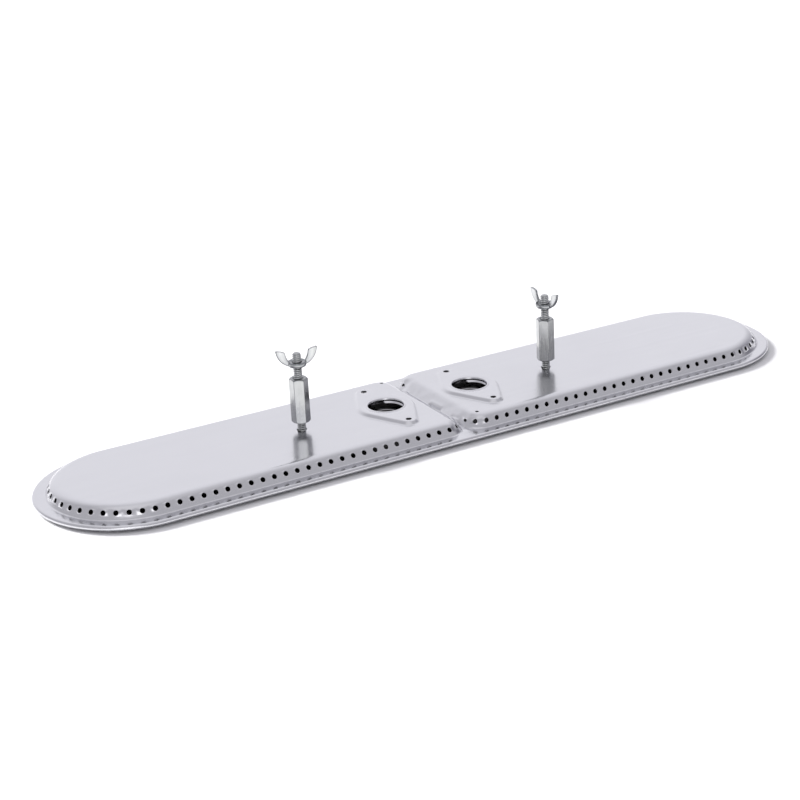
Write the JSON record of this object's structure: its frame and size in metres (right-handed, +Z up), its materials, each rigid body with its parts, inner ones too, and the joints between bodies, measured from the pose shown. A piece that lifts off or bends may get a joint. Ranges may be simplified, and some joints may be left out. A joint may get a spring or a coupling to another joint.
{
  "type": "twin oval pan burner assembly",
  "caption": "Twin oval stainless pan burner for a gas grill, with ported walls, inlet pads, and threaded studs carrying hex standoffs and wing nuts.",
  "frame": {"origin": "centre of the footprint, on the plane that the smooth pan face lies on", "axes": "+Z up from the pan face towards the studs, +X along the burner's length, +Y across its width"},
  "size_m": [0.562, 0.1248, 0.0693],
  "materials": {
    "shell_stainless": "brushed sheet with light draw marks",
    "inner_stainless": "mill finish",
    "zinc_plated_steel": "bright zinc plating"
  },
  "bodies": {
    "burner": {"upper_shell": "shell_stainless", "lower_shell": "shell_stainless", "chamber_divider": "inner_stainless", "left_stud": "zinc_plated_steel", "right_stud": "zinc_plated_steel", "left_stud_plate": "inner_stainless", "right_stud_plate": "inner_stainless", "left_inlet_backing_plate": "inner_stainless", "right_inlet_backing_plate": "inner_stainless", "left_front_weld_nut": "zinc_plated_steel", "left_back_weld_nut": "zinc_plated_steel", "right_front_weld_nut": "zinc_plated_steel", "right_back_weld_nut": "zinc_plated_steel", "left_gas_baffle": "inner_stainless", "right_gas_baffle": "inner_stainless"},
    "left_standoff": {"left_standoff": "zinc_plated_steel"},
    "right_standoff": {"right_standoff": "zinc_plated_steel"},
    "left_wing_nut": {"left_wing_nut": "zinc_plated_steel"},
    "right_wing_nut": {"right_wing_nut": "zinc_plated_steel"}
  },
  "joints": [
    {"name": "left_standoff_turn", "type": "hinge", "parent": "burner", "child": "left_standoff", "pos_m": [-0.097, 0, 0.0339], "axis": [0, 0, 1], "continuous": true},
    {"name": "right_standoff_turn", "type": "hinge", "parent": "burner", "child": "right_standoff", "pos_m": [0.097, 0, 0.0339], "axis": [0, 0, 1], "continuous": true},
    {"name": "left_wing_nut_turn", "type": "hinge", "parent": "burner", "child": "left_wing_nut", "pos_m": [-0.097, 0, 0.059], "axis": [0, 0, 1], "continuous": true},
    {"name": "right_wing_nut_turn", "type": "hinge", "parent": "burner", "child": "right_wing_nut", "pos_m": [0.097, 0, 0.059], "axis": [0, 0, 1], "continuous": true}
  ]
}
